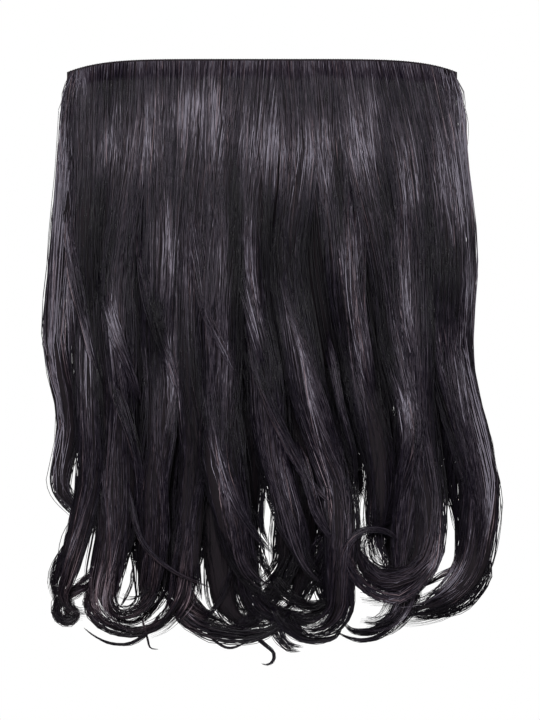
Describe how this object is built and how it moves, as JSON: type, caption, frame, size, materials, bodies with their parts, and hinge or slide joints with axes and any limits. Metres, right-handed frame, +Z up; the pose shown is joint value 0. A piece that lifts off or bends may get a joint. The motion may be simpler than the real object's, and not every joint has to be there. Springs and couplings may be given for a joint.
{
  "type": "hair weft",
  "caption": "Hanging hair weft: a narrow sewn track with a front and a back row of long wavy dark hair that ends in loose curls.",
  "frame": {"origin": "middle of the track's upper edge, where the weft is sewn, taped or pinned on and hangs from", "axes": "+Z up along the hair's fall, +X along the track, and the front of the hair faces -Y"},
  "size_m": [0.3222, 0.0387, 0.4098],
  "materials": {
    "track": "stitched fibre, matt",
    "hair": "smooth fibre, soft gloss"
  },
  "bodies": {
    "root": {"weft_track": "track", "front_row": "hair", "back_row": "hair"}
  },
  "joints": []
}
